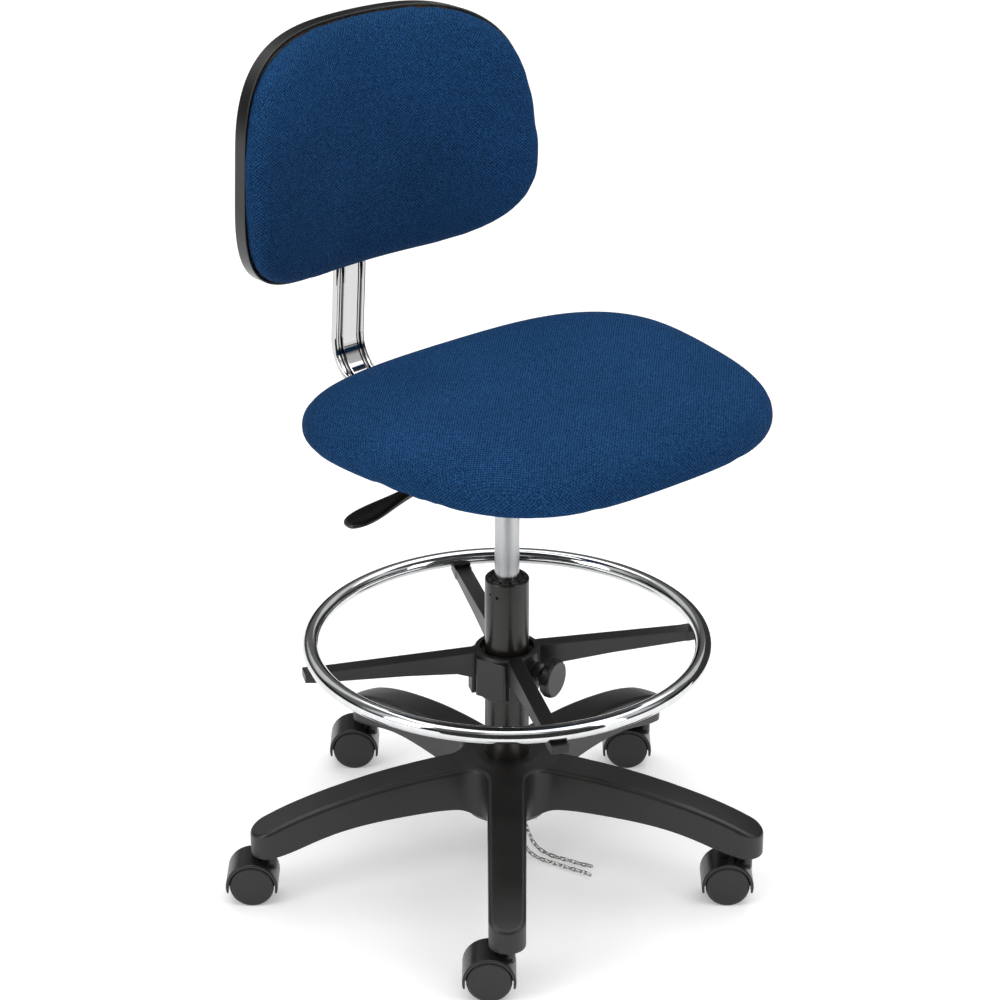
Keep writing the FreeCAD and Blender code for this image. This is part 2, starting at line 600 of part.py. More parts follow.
def lever_rod():
    """Bent rod: a flattened tab over the valve button, the pivot eye, then out to the paddle."""
    tab = box(-26, 5, -1, 9, 524.5, 528)
    inner = rod(4, V(-24, 4, 524.9), LEVER_ELBOW)
    outer = rod(4, LEVER_ELBOW, LEVER_END)
    knee = Part.makeSphere(4, LEVER_ELBOW)
    body = joined([tab, inner, outer, knee])
    return body.cut(rod(2.2, V(LEVER_PIVOT.x, -10, LEVER_PIVOT.z), V(LEVER_PIVOT.x, 20, LEVER_PIVOT.z)))


def lever_pivot_pin():
    low = V(LEVER_PIVOT.x, -6.5, LEVER_PIVOT.z)
    high = V(LEVER_PIVOT.x, 14, LEVER_PIVOT.z)
    return rod(2.0, low, high).fuse(rod(3.4, high, high + V(0, 1.2, 0)))


def lever_paddle():
    """Moulded paddle on the lever's end, drawn as a teardrop in plan."""
    half_widths = [(-112, 5.3), (-140, 6.2), (-163, 9.6), (-188, 14.2), (-206, 12.6), (-217, 0)]
    near = [(x, LEVER_PIVOT.y - half) for x, half in half_widths]
    far = [(x, LEVER_PIVOT.y + half) for x, half in reversed(half_widths[:-1])]
    outline = near + far
    curve = Part.BSplineCurve()
    curve.interpolate([V(x, y, 470) for x, y in outline])
    closing = Part.makeLine(V(outline[-1][0], outline[-1][1], 470), V(outline[0][0], outline[0][1], 470))
    prism = Part.Face(Part.Wire([curve.toShape(), closing])).extrude(V(0, 0, 70))
    side = polygon([(-112, 0, 515.4), (-150, 0, 508.4), (-166, 0, 504.6), (-217, 0, 494.6), (-219, 0, 490.6),
                    (-214, 0, 489.4), (-180, 0, 494), (-158, 0, 497.4), (-112, 0, 504.6)])
    slab = side.extrude(V(0, 60, 0))
    slab.translate(V(0, -26, 0))
    body = prism.common(slab)
    return body.cut(rod(4.05, LEVER_ELBOW, LEVER_END))


def seat_section(grow, height):
    outline = rounded_outline(SEAT_PLAN, grow)
    return closed_curve([(x, SEAT_CENTRE - y, height) for x, y in outline])


def seat_cushion():
    """Foam and cover over the board: rolled edge, crowned top, a recess below for the board."""
    body = Part.makeLoft([seat_section(grow, z) for grow, z in SEAT_LAYERS], True, True)
    recess = Part.Face(seat_section(-16, SEAT_BOTTOM - 1)).extrude(V(0, 0, BOARD_THICK + 1.2))
    return body.cut(recess)


def seat_board():
    board = Part.Face(seat_section(-16.3, SEAT_BOTTOM)).extrude(V(0, 0, BOARD_THICK))
    holes = [Part.makeCylinder(3.1, 30, V(x, y, SEAT_BOTTOM - 5)) for x, y in SEAT_FIXINGS]
    return board.cut(holes)


def seat_screws():
    screws = []
    for x, y in SEAT_FIXINGS:
        head = Part.makeCylinder(6.5, 3, V(x, y, SEAT_BOTTOM - 7.1))
        screws.append(head.fuse(Part.makeCylinder(3.0, 15.5, V(x, y, SEAT_BOTTOM - 4.1))))
    return Part.makeCompound(screws)


def depth_knob():
    """Hand wheel under the tunnel with its moulded-in stud."""
    knob = lobed_knob(24, 16, 6, 2.4).fuse(Part.makeCylinder(4.0, 22, V(0, 0, -21.8)))
    return aimed(knob, V(0, DEPTH_CLAMP, TUNNEL_LOW - 24.6), V(0, 0, -1))


def depth_pad():
    return Part.makeCylinder(6.0, 2.8, V(0, DEPTH_CLAMP, TUNNEL_LOW - 2.6))


# ---------------------------------------------------------------- back upright
def bar_section():
    """Flat bar with rounded edges, two grooves and a raised rib, centred on the origin in XY."""
    half = BAR_THICK / 2
    plate = box(-BAR_HALF, BAR_HALF, -half, half, 0, 1)
    edges = [e for e in plate.Edges if abs(e.Vertexes[0].Point.z - e.Vertexes[1].Point.z) > 0.5]
    plate = plate.makeFillet(3.6, edges)
    for x in (-GROOVE_AT, GROOVE_AT):
        for y in (-half - GROOVE_SINK, half + GROOVE_SINK):
            plate = plate.cut(Part.makeCylinder(GROOVE_RADIUS, 1, V(x, y, 0)))
    face = min(plate.Faces, key=lambda f: f.CenterOfMass.z)
    return face.OuterWire


def bar_path():
    """Centre line in the YZ plane: level run, bend, slight forward lean, then the tilted upper run."""
    lean = math.radians(-4.3)
    tilt = math.radians(BACK_TILT)
    upper = V(0, math.sin(tilt), math.cos(tilt))
    bend_centre = V(0, BAR_BACK - BAR_BEND, BAR_LEVEL + BAR_BEND)
    start = V(0, BAR_FRONT, BAR_LEVEL)
    level_end = V(0, bend_centre.y, BAR_LEVEL)
    leave_angle = -lean
    leave = bend_centre + V(0, math.cos(leave_angle), math.sin(leave_angle)) * BAR_BEND
    mid_angle = (leave_angle - math.pi / 2) / 2
    bend_mid = bend_centre + V(0, math.cos(mid_angle), math.sin(mid_angle)) * BAR_BEND
    leaning = V(0, math.sin(lean), math.cos(lean))
    turn = (tilt - lean) / 2
    # where the leaning run's line meets the upper run's line
    gap = BACK_HINGE - leave
    cross = leaning.y * upper.z - leaning.z * upper.y
    reach = (gap.y * upper.z - gap.z * upper.y) / cross
    corner = leave + leaning * reach
    setback = 30.0
    radius = setback / math.tan(turn)
    enter = corner - leaning * setback
    exit_ = corner + upper * setback
    inward = (upper - leaning).normalize()
    arc_mid = corner + inward * (radius / math.cos(turn) - radius)
    top = BACK_HINGE + upper * UPPER_RUN
    return Part.Wire([Part.LineSegment(start, level_end).toShape(),
                      Part.Arc(level_end, bend_mid, leave).toShape(),
                      Part.LineSegment(leave, enter).toShape(),
                      Part.Arc(enter, arc_mid, exit_).toShape(),
                      Part.LineSegment(exit_, top).toShape()])


def back_upright():
    section = bar_section().copy()
    section.rotate(ORIGIN, V(1, 0, 0), -90)
    section.translate(V(0, BAR_FRONT, BAR_LEVEL))
    return bar_path().makePipeShell([section], True, False)


# ---------------------------------------------------------------- backrest
def back_frame(shape):
    """From the bar's frame (bar along Z through the origin) to the chair."""
    return moved(spun(shape, -BACK_TILT, axis=V(1, 0, 0)), BACK_HINGE.x, BACK_HINGE.y, BACK_HINGE.z)


def back_slab(grow, near, far):
    """The backrest's outline as a curved plate between two depths ahead of the shell's rear face."""
    outline = rounded_outline(BACK_PLAN, grow)
    wire = closed_curve([(x, -200, BACK_MID + z) for x, z in outline])
    prism = Part.Face(wire).extrude(V(0, 260, 0))
    axis_y = BACK_REAR - BACK_CURVE
    foot = V(0, axis_y, BACK_MID - BACK_SPAN)
    outer = Part.makeCylinder(BACK_CURVE - near, 2 * BACK_SPAN, foot)
    inner = Part.makeCylinder(BACK_CURVE - far, 2 * BACK_SPAN, foot)
    return prism.common(outer.cut(inner))


def fixing_holes(radius, near, far):
    return [rod(radius, V(x, near, z), V(x, far, z)) for x, z in BACK_FIXINGS]


def back_shell():
    """Moulded rear shell: a curved skin with a rim that runs forward round the pad."""
    skin = back_slab(0, 0, SHELL_DEPTH)
    tray = back_slab(-SHELL_SKIN, SHELL_SKIN, SHELL_DEPTH + 4)
    return back_frame(skin.cut(tray).cut(fixing_holes(3.1, -30, 0)))


def back_board():
    board = back_slab(-SHELL_SKIN - 0.4, SHELL_SKIN, SHELL_SKIN + BACK_BOARD_THICK)
    return back_frame(board.cut(fixing_holes(2.6, -40, 0)))


def back_cushion():
    """Foam and cover over the board, crowned towards the sitter."""
    near = SHELL_SKIN + BACK_BOARD_THICK
    layers = []
    for far, grow in BACK_LAYERS:
        layers.append(back_slab(grow, near, far))
        near = far
    return back_frame(joined(layers))


def back_bracket():
    """Steel channel that slides on the upright, with a clamp boss behind and a plate in front."""
    inner = BAR_THICK / 2 + 0.5
    plate = box(-30, 30, BACK_REAR, -inner, BRACKET_LOW, BRACKET_HIGH)
    sleeve = box(-BAR_HALF - 3.6, BAR_HALF + 3.6, -inner - 3, inner + 6, BRACKET_LOW + 8, BRACKET_HIGH - 8)
    body = joined([plate, sleeve, rod(10, V(0, inner + 5, HEIGHT_CLAMP), V(0, inner + 13, HEIGHT_CLAMP))])
    way = box(-BAR_HALF - 0.6, BAR_HALF + 0.6, -inner, inner + 2.8, BRACKET_LOW - 1, BRACKET_HIGH + 1)
    shell_foot = V(0, BACK_REAR - BACK_CURVE, BACK_MID - BACK_SPAN)
    shell_face = Part.makeCylinder(BACK_CURVE, 2 * BACK_SPAN, shell_foot)
    body = body.cut([way, shell_face] + fixing_holes(3.1, -20, 0))
    for x, z in BACK_FIXINGS:
        body = body.cut(rod(6.0, V(x, -inner - 2.2, z), V(x, 40, z)))
    pad_pocket = rod(6.4, V(0, inner, HEIGHT_CLAMP), V(0, inner + 5.7, HEIGHT_CLAMP))
    return back_frame(body.cut([pad_pocket, rod(4.25, V(0, 0, HEIGHT_CLAMP), V(0, 40, HEIGHT_CLAMP))]))


def back_screws():
    near = -BAR_THICK / 2 - 0.5
    screws = [rod(5.5, V(x, near - 2.2, z), V(x, near - 0.3, z)).fuse(
        rod(2.5, V(x, near - 2.2, z), V(x, near - 16, z))) for x, z in BACK_FIXINGS]
    return back_frame(Part.makeCompound(screws))


def height_knob():
    """Hand knob behind the back with its moulded-in stud."""
    knob = lobed_knob(21, 15, 6, 2.1).fuse(Part.makeCylinder(4.0, 20.6, V(0, 0, -20.6)))
    standing = aimed(knob, V(0, BAR_THICK / 2 + 24, HEIGHT_CLAMP), V(0, 1, 0))
    return back_frame(standing)


def height_pad():
    near = BAR_THICK / 2 + 0.5
    return back_frame(rod(6.0, V(0, near, HEIGHT_CLAMP), V(0, near + 2.6, HEIGHT_CLAMP)))


# ---------------------------------------------------------------- write every node
def main():
    os.makedirs("parts", exist_ok=True)
    nodes = {
        "star_base": star_base(),
        "caster_stems": caster_stems(),
        "stem_grip_rings": grip_rings(),
        "column_tube": column_tube(),
        "column_guide_bush": guide_bush(),
        "column_base_plate": column_base_plate(),
        "thrust_bearing": thrust_bearing(),
        "piston_rod": piston_rod(),
        "rod_clip": rod_clip(),
        "piston_head": piston_head(),
        "gas_cylinder": gas_cylinder(),
        "valve_pin": valve_pin(),
        "chain_anchor": chain_anchor(),
        "ground_chain_a": cord_tube(CHAIN_A, CHAIN_DIAMETER, "ground_chain_a"),
        "ground_chain_b": cord_tube(CHAIN_B, CHAIN_DIAMETER, "ground_chain_b"),
        "footring_liner": footring_liner(),
        "footring_spider": footring_spider(),
        "footring_tube": footring_tube(),
        "footring_screws": footring_screws(),
        "footring_knob_stud": footring_knob_stud(),
        "footring_knob": footring_knob(),
        "footring_pad": footring_pad(),
        "seat_mechanism": seat_mechanism(),
        "lever_rod": lever_rod(),
        "lever_paddle": lever_paddle(),
        "lever_pivot_pin": lever_pivot_pin(),
        "seat_board": seat_board(),
        "seat_cushion": seat_cushion(),
        "seat_screws": seat_screws(),
        "depth_knob": depth_knob(),
        "depth_pad": depth_pad(),
        "back_upright": back_upright(),
        "back_bracket": back_bracket(),
        "back_shell": back_shell(),
        "back_board": back_board(),
        "back_cushion": back_cushion(),
        "back_screws": back_screws(),
        "height_knob": height_knob(),
        "height_pad": height_pad(),
    }
    nodes.update(casters())
    for node, shape in nodes.items():
        print("%-24s solids %d  volume %9.1f  valid %s"
              % (node, len(shape.Solids), shape.Volume, shape.isValid()))
        save(shape, node)


main()
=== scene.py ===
"""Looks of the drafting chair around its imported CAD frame.  Metres, +Z up, the floor at z = 0."""

import json
import math

import bmesh
import bpy
import numpy as np
from mathutils import Matrix, Vector


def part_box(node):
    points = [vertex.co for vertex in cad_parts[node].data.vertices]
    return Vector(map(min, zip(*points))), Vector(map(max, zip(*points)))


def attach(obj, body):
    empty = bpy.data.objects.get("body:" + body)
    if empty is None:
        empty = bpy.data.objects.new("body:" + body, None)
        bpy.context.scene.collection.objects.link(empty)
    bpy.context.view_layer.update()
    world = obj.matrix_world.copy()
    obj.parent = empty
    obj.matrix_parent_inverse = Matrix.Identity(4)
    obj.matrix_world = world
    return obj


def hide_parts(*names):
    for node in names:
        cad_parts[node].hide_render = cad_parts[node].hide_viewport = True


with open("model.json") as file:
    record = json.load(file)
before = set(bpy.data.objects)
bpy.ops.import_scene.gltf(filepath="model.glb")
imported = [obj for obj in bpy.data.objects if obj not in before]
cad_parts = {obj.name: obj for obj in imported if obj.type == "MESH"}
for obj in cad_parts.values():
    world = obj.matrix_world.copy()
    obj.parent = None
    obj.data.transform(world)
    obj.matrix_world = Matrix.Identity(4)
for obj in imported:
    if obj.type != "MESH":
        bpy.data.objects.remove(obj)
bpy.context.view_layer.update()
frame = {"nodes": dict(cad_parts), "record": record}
nodes = frame["nodes"]

# ---------------------------------------------------------------- driving values
CAMERA_AT = Vector((-2.1097, -2.5017, 1.9634))
CAMERA_LOOK = Vector((0.5840, 0.6959, -0.4179))
CAMERA_LENS = 117.0          # millimetres, on a sensor 36 mm wide

# the two static-drain chains' control points, from the anchor to the floor
CHAIN_A = [(0.0157, -0.0093, 0.0550), (0.0180, -0.0112, 0.0450), (0.0215, -0.0146, 0.0300),
           (0.0248, -0.0186, 0.0170), (0.0314, -0.0264, 0.0070), (0.0384, -0.0409, 0.0033),
           (0.0458, -0.0566, 0.0033), (0.0509, -0.0725, 0.0033), (0.0593, -0.0861, 0.0033)]
CHAIN_B = [(0.0069, -0.0104, 0.0550), (0.0081, -0.0116, 0.0430), (0.0093, -0.0132, 0.0300),
           (0.0121, -0.0169, 0.0175), (0.0171, -0.0248, 0.0075), (0.0232, -0.0377, 0.0033),
           (0.0295, -0.0535, 0.0033), (0.0346, -0.0708, 0.0033), (0.0416, -0.0858, 0.0033),
           (0.0442, -0.0998, 0.0033)]
CHAIN_DIAMETER = 0.0060      # width of a link
LINK_LENGTH = 0.0108
LINK_WIRE = 0.00100          # radius of a link's wire
LINK_STEPS = 20              # rings round one link
WIRE_STEPS = 8               # vertices round its wire
LINK_TILTS = (-42, 48)       # degrees that the links turn about the chain, in turn
LINK_SIDE = Vector((0.42, 0.91, 0.0))

# the lever's grip, from its neck to its tip: x, middle height, half width, half thickness, dish of the top
GRIP = [(-0.1121, 0.5100, 0.0066, 0.0058, 0.0), (-0.1260, 0.5074, 0.0069, 0.0055, 0.0),
        (-0.1400, 0.5048, 0.0078, 0.0052, 0.0003), (-0.1540, 0.5023, 0.0100, 0.0049, 0.0009),
        (-0.1680, 0.4999, 0.0130, 0.0047, 0.0015), (-0.1820, 0.4974, 0.0158, 0.0045, 0.0020),
        (-0.1950, 0.4952, 0.0170, 0.0043, 0.0020), (-0.2070, 0.4934, 0.0156, 0.0041, 0.0016),
        (-0.2160, 0.4921, 0.0112, 0.0037, 0.0009), (-0.2200, 0.4915, 0.0060, 0.0028, 0.0003)]
GRIP_Y = 0.004
GRIP_STEPS = 20              # vertices round a station
GRIP_SQUARENESS = 0.8        # 1 is an ellipse, less is squarer

# the back upright's two grooves, along which its shade is painted, by their distance from its middle
GROOVE_FROM = 0.0096
GROOVE_TO = 0.0168
GROOVE_FADE = 0.0008

# fabric and cushions
WEAVE = 0.0038               # one full repeat of the weave
THREAD_STRAY = 0.0032        # how far its threads stray from straight lines
# the fabric's two colours: the deep one is painted shade in the hollows between threads and the tone of
# dark fibres; the lit one is painted light on raised threads and the tone of pale fibres
BLUE_GAP_SHADE_AND_DARK_FIBRE = (0.0022, 0.0160, 0.0520)
BLUE_LIT = (0.0150, 0.0690, 0.1850)
VOXEL = 0.005
CLOTH_FRAMES = 20
CLOTH_PRESSURE = 4.0
EVENING_ROUNDS = 500
NO_LENGTH = 1e-9

SEAT_SHRINK = (0.975, 0.97, 0.86)
SEAT_SOFTENING = 16          # rounds of smoothing before the cloth simulation
SEAT_HELD = 0.006            # up to this height over its board the cover is held
SEAT_FREEING = 0.030         # and over this much more it comes free
SEAT_CAP = 0.018             # the furthest that a point of it may swell
SEAT_HALF_WIDTH = 0.243
SEAT_HALF_DEPTH = 0.2
SEAT_MIDDLE_Y = -0.065
SEAT_SIDE_LIFT = 0.002
SEAT_FRONT_DROP = 0.0054
SEAT_REAR_DROP = 0.001

BACK_SHRINK = (0.985, 1.0, 0.98)
BACK_SOFTENING = 26
BACK_AXIS = 0.1493           # the backrest curves about a line this far ahead of the column
BACK_FOOT = 0.690            # the height from which that line leans, with the upright
BACK_LEAN = 0.0349           # its slope, 2 degrees
BACK_HELD = 0.392            # beyond this distance from that line the cover is held on its board
BACK_FREEING = 0.015
BACK_CAP = 0.016
BACK_HALF_WIDTH = 0.2
BACK_WAIST = 0.826           # height at which the pad is filled out sideways,
BACK_WAIST_REACH = 0.042     # how far above and below,
BACK_WAIST_FILL = 0.016      # and by what share of its half width

FLOOR_HALF = 14.0


# ---------------------------------------------------------------- mesh helpers
def new_object(name, mesh):
    piece = bpy.data.objects.new(name, mesh)
    bpy.context.scene.collection.objects.link(piece)
    return piece


def smooth_shaded(mesh):
    mesh.polygons.foreach_set("use_smooth", [True] * len(mesh.polygons))


def mesh_piece(name, vertices, faces):
    mesh = bpy.data.meshes.new(name)
    mesh.from_pydata([tuple(v) for v in vertices], [], faces)
    mesh.update()
    smooth_shaded(mesh)
    return new_object(name, mesh)


def band_faces(first, around, rings, closed=False):
    """Quads between successive rings, each of `around` vertices, that start at vertex `first`."""
    faces = []
    for ring in range(rings if closed else rings - 1):
        a = first + ring * around
        b = first + (ring + 1) % rings * around
        for j in range(around):
            k = (j + 1) % around
            faces.append((a + j, b + j, b + k, a + k))
    return faces


def applied(piece):
    """Bake a piece's modifiers into its mesh."""
    graph = bpy.context.evaluated_depsgraph_get()
    mesh = bpy.data.meshes.new_from_object(piece.evaluated_get(graph))
    piece.modifiers.clear()
    piece.data = mesh
    return piece


def subdivided(piece, levels):
    step = piece.modifiers.new("subdivision", "SUBSURF")
    step.levels = levels
    step.render_levels = levels
    return applied(piece)


def remeshed(piece):
    """Replace a piece's mesh by even quads."""
    even = piece.modifiers.new("even", "REMESH")
    even.mode = "VOXEL"
    even.voxel_size = VOXEL
    return applied(piece)


def softened(piece, rounds):
    """Round a piece's edges off by smoothing its vertices."""
    body = bmesh.new()
    body.from_mesh(piece.data)
    for _ in range(rounds):
        bmesh.ops.smooth_vert(body, verts=body.verts, factor=0.5,
                              use_axis_x=True, use_axis_y=True, use_axis_z=True)
    body.to_mesh(piece.data)
    body.free()


def fit(piece, low, high):
    """Stretch a piece a little so that it fills a box exactly."""
    corners = [v.co for v in piece.data.vertices]
    mine_low = Vector(min(c[k] for c in corners) for k in range(3))
    mine_high = Vector(max(c[k] for c in corners) for k in range(3))
    for vertex in piece.data.vertices:
        for k in range(3):
            share = (vertex.co[k] - mine_low[k]) / (mine_high[k] - mine_low[k])
            vertex.co[k] = low[k] + share * (high[k] - low[k])
    piece.data.update()


def smooth_line(points, name):
    """Points along the smooth NURBS line of a route's control points."""
    curve = bpy.data.curves.new(name, "CURVE")
    curve.dimensions = "3D"
    curve.resolution_u = 24
    spline = curve.splines.new("NURBS")
    spline.points.add(len(points) - 1)
    for target, point in zip(spline.points, points):
        target.co = (*point, 1.0)
    spline.order_u = 3
    spline.use_endpoint_u = True
    holder = bpy.data.objects.new(name, curve)
    mesh = bpy.data.meshes.new_from_object(holder)
    line = [v.co.copy() for v in mesh.vertices]
    bpy.data.objects.remove(holder)
    return line


class Line:
    """A polyline that can be asked for the point at a distance along it."""

    def __init__(self, points):
        self.points = points
        self.reach = [0.0]
        for a, b in zip(points, points[1:]):
            self.reach.append(self.reach[-1] + (b - a).length)
        self.length = self.reach[-1]

    def at(self, distance):
        distance = min(max(distance, 0.0), self.length)
        for k in range(1, len(self.points)):
            if self.reach[k] >= distance:
                share = (distance - self.reach[k - 1]) / (self.reach[k] - self.reach[k - 1])
                return self.points[k - 1].lerp(self.points[k], share)
        return self.points[-1].copy()


# ---------------------------------------------------------------- node helpers
def rgba(colour):
    return (*colour, 1.0)


def grey(level):
    return (level, level, level, 1.0)


class Graph:
    """A node tree, with short ways to add nodes to it."""

    def __init__(self, tree):
        self.tree = tree

    def put(self, node, socket, value):
        """Link a socket to a node's input, or set that input to a number or colour."""
        if isinstance(value, bpy.types.NodeSocket):
            self.tree.links.new(value, node.inputs[socket])
        else:
            node.inputs[socket].default_value = value

    def add(self, kind, inputs=None, **options):
        node = self.tree.nodes.new("ShaderNode" + kind)
        for option, value in options.items():
            setattr(node, option, value)
        for socket, value in (inputs or {}).items():
            self.put(node, socket, value)
        return node

    def math(self, operation, a, b=0.0):
        return self.add("Math", {0: a, 1: b}, operation=operation).outputs[0]

    def vector(self, operation, a, b=(0.0, 0.0, 0.0)):
        node = self.add("VectorMath", {0: a, 1: b}, operation=operation)
        return node.outputs["Value" if operation in ("DOT_PRODUCT", "LENGTH") else "Vector"]

    def scaled(self, vector, factor):
        return self.add("VectorMath", {0: vector, "Scale": factor}, operation="SCALE").outputs[0]

    def split(self, vector):
        return self.add("SeparateXYZ", {0: vector}).outputs

    def spread(self, value, low, high, start=0.3, end=0.7):
        """Map a pattern from start..end onto low..high."""
        node = self.add("MapRange", {"Value": value, "From Min": start, "From Max": end,
                                     "To Min": low, "To Max": high})
        return node.outputs["Result"]


class Look(Graph):
    """A material being built: a Principled shader and the nodes that feed it."""

    def __init__(self, name, **fixed):
        self.material = bpy.data.materials.new(name)
        self.material.use_nodes = True
        super().__init__(self.material.node_tree)
        self.shader = self.tree.nodes["Principled BSDF"]
        for socket, value in fixed.items():
            self.set(socket.replace("_", " "), value)
        place = self.add("TexCoord")
        self.place = place.outputs["Object"]
        self.facing = place.outputs["Normal"]

    def set(self, socket, value):
        self.put(self.shader, socket, value)

    def noise(self, scale, detail=3.0, stretch=None, roughness=0.5):
        place = self.place
        if stretch:
            place = self.vector("MULTIPLY", place, stretch)
        return self.add("TexNoise", {"Vector": place, "Scale": scale, "Detail": detail,
                                     "Roughness": roughness}).outputs["Fac"]

    def between(self, share, dark, light):
        return self.add("MixRGB", {"Fac": share, "Color1": dark, "Color2": light}).outputs[0]

    def bump(self, height, distance, strength=1.0, normal=None):
        inputs = {"Height": height, "Distance": distance, "Strength": strength}
        if normal:
            inputs["Normal"] = normal
        return self.add("Bump", inputs).outputs["Normal"]

    def soft_edges(self, radius):
        """Rounded-edge normals, and a mask that is 1 on the edges."""
        rounded = self.add("Bevel", {"Radius": radius}, samples=6).outputs["Normal"]
        true = self.add("NewGeometry").outputs["Normal"]
        flat = self.vector("DOT_PRODUCT", rounded, true)
        return rounded, self.spread(flat, 1.0, 0.0, 0.90, 0.998)


# ---------------------------------------------------------------- materials
def woven_blue():
    """Plain-weave upholstery: crossing threads, painted lighter where they rise and darker in the hollows
    between them (painted light and shade), fibre flecks and slow shade changes.
    """
    look = Look("blue_fabric", Roughness=0.92, Specular_IOR_Level=0.06)
    stray = look.add("TexNoise", {"Vector": look.place, "Scale": 22.0, "Detail": 2.0}).outputs["Color"]
    stray = look.vector("SUBTRACT", stray, (0.5, 0.5, 0.5))
    stray = look.vector("MULTIPLY", stray, (THREAD_STRAY,) * 3)
    turns = look.vector("MULTIPLY", look.vector("ADD", look.place, stray), (2 * math.pi / WEAVE,) * 3)
    wave = look.split(look.vector("SINE", turns))
    crossed = look.add("CombineXYZ", {0: look.math("MULTIPLY", wave[1], wave[2]),
                                      1: look.math("MULTIPLY", wave[0], wave[2]),
                                      2: look.math("MULTIPLY", wave[0], wave[1])}).outputs[0]
    weight = look.vector("MULTIPLY", look.facing, look.facing)
    weave = look.spread(look.vector("DOT_PRODUCT", crossed, weight), 0.0, 1.0, -0.75, 0.75)
    fibre = look.spread(look.noise(620.0, 2.0, roughness=0.7), 0.0, 1.0, 0.32, 0.68)
    # threads lighter where the weave rises and darker in its hollows (painted light and shade), mixed with
    # the real tone of the fibres
    thread = look.math("ADD", look.math("MULTIPLY", weave, 0.45), look.math("MULTIPLY", fibre, 0.55))
    shade = look.between(look.spread(thread, 0.0, 1.0, 0.28, 0.78), rgba(BLUE_GAP_SHADE_AND_DARK_FIBRE), rgba(BLUE_LIT))
    worn = look.spread(look.noise(9.0, 2.0), 0.90, 1.08)
    fleck = look.spread(look.noise(260.0, 3.0, roughness=0.6), 0.80, 1.18)
    look.set("Base Color", look.scaled(shade, look.math("MULTIPLY", worn, fleck)))
    height = look.math("ADD", look.math("MULTIPLY", weave, 0.8), look.math("MULTIPLY", fibre, 0.35))
    look.set("Normal", look.bump(height, 0.00045, 0.8))
    return look.material


def moulded(name, colour, roughness, grain, edge, edge_tint):
    """Moulded or coated black: fine grain, uneven gloss and edges rubbed a little brighter."""
    look = Look(name, Specular_IOR_Level=0.5)
    rounded, rim = look.soft_edges(edge)
    patch = look.noise(14.0, 3.0)
    fine = look.noise(grain, 2.0)
    dark = tuple(c * 0.82 for c in colour)
    base = look.between(look.spread(patch, 0.0, 1.0), rgba(dark), rgba(colour))
    look.set("Base Color", look.between(look.math("MULTIPLY", rim, 0.55), base, rgba(edge_tint)))
    gloss = look.spread(patch, roughness - 0.05, roughness + 0.06)
    look.set("Roughness", look.math("SUBTRACT", gloss, look.math("MULTIPLY", rim, 0.08)))
    look.set("Normal", look.bump(fine, 0.00006, 0.6, rounded))
    return look.material


def plated(name, colour, roughness, unevenness, stretch, scale, edge, relief):
    """Bare or plated metal: faint rubbing marks along stretch and a soft edge."""
    look = Look(name, Metallic=1.0)
    rounded, rim = look.soft_edges(edge)
    marks = look.noise(scale, 4.0, stretch)
    cloud = look.noise(17.0, 2.0)
    dark = tuple(c * 0.88 for c in colour)
    base = look.between(look.spread(marks, 0.0, 1.0), rgba(dark), rgba(colour))
    look.set("Base Color", look.between(look.math("MULTIPLY", rim, 0.3), base, grey(0.92)))
    gloss = look.spread(cloud, roughness - unevenness, roughness + unevenness)
    look.set("Roughness", look.math("ADD", gloss, look.math("MULTIPLY", marks, unevenness)))
    look.set("Normal", look.bump(marks, relief, 0.4, rounded))
    return look.material


def ribbed_chrome():
    """The back upright's chrome: grey, with painted shade along each groove, a dark line in place of the
    dark the groove would reflect.
    """
    look = Look("ribbed_chrome", Metallic=1.0, Roughness=0.05)
    rounded, rim = look.soft_edges(0.0006)
    across = look.math("ABSOLUTE", look.split(look.place)["X"])
    # painted shade: a mask that is 1 in each groove, where the chrome is coloured dark in place of the
    # dark it would reflect
    groove_shade = look.math("MULTIPLY",
                       look.spread(across, 0.0, 1.0, GROOVE_FROM, GROOVE_FROM + GROOVE_FADE),
                       look.spread(across, 1.0, 0.0, GROOVE_TO - GROOVE_FADE, GROOVE_TO))
    middle = look.math("ABSOLUTE", look.math("SUBTRACT", across, (GROOVE_FROM + GROOVE_TO) / 2))
    # the painted shade is deepest along each groove's middle
    groove_shade = look.math("MULTIPLY", groove_shade, look.spread(middle, 0.15, 1.0, 0.0003, 0.0011))
    shade_drift = look.spread(look.noise(11.0, 1.0, (0.2, 0.2, 1.0)), 0.80, 1.0)
    # the painted groove shade's near-black colour, unevenly deep along the upright
    base = look.between(look.math("MULTIPLY", groove_shade, shade_drift),
                        rgba((0.55, 0.555, 0.55)), rgba((0.035, 0.036, 0.04)))
    look.set("Base Color", look.between(look.math("MULTIPLY", rim, 0.35), base, grey(0.92)))
    look.set("Normal", rounded)
    return look.material


def plywood():
    """Birch plywood: long grain with darker pores."""
    look = Look("plywood", Specular_IOR_Level=0.3)
    grain = look.noise(60.0, 5.0, (1.0, 0.08, 4.0))
    pores = look.noise(420.0, 2.0, (1.0, 0.05, 1.0))
    base = look.between(look.spread(grain, 0.0, 1.0), rgba((0.33, 0.21, 0.11)), rgba((0.55, 0.40, 0.24)))
    pore_share = look.spread(pores, 0.0, 0.4, 0.6, 0.75)
    look.set("Base Color", look.between(pore_share, base, rgba((0.2, 0.12, 0.06))))
    look.set("Roughness", look.spread(grain, 0.55, 0.75))
    look.set("Normal", look.bump(grain, 0.0002, 0.5))
    return look.material


